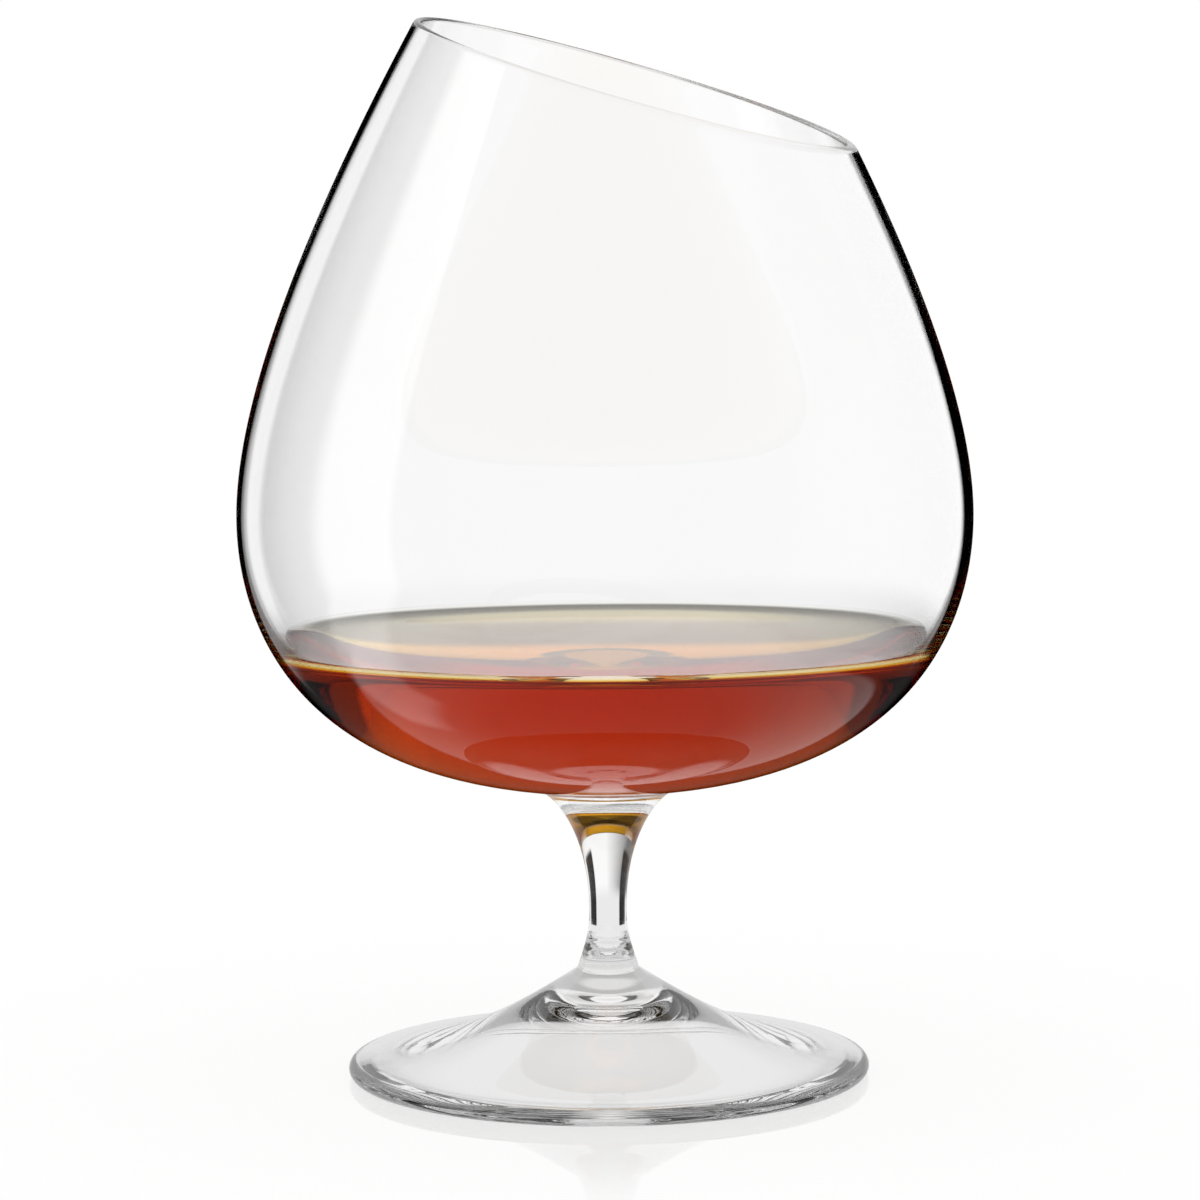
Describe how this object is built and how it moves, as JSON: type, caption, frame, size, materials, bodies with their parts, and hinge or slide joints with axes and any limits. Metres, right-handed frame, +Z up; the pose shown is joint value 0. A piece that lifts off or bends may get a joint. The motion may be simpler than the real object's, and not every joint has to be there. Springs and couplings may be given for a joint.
{
  "type": "brandy snifter",
  "caption": "Blown brandy snifter with a wide bowl, a slanted mouth, a short drawn stem and a spread foot, holding a pour of brandy.",
  "frame": {"origin": "on the table under the middle of the foot, on the axis of the glass", "axes": "+Z up the axis of the glass; -Y towards the viewer of the picture; the mouth's low side points to +X, turned 22 degrees towards -Y"},
  "size_m": [0.085, 0.085, 0.123],
  "materials": {
    "bowl_glass": "clear, fire-polished, blown thin",
    "stem_glass": "clear, fire-polished, with faint tool rings at its base",
    "foot_glass": "clear, fire-polished, with faint spun rings",
    "brandy": "clear amber-brown liquid, gold where it is thin"
  },
  "bodies": {
    "glass": {"bowl": "bowl_glass", "stem": "stem_glass", "foot": "foot_glass"},
    "brandy": {"brandy": "brandy"}
  },
  "joints": [
    {"name": "brandy_swirl", "type": "hinge", "parent": "glass", "child": "brandy", "pos_m": [0, 0, 0.0499], "axis": [0, 0, 1], "continuous": true}
  ]
}
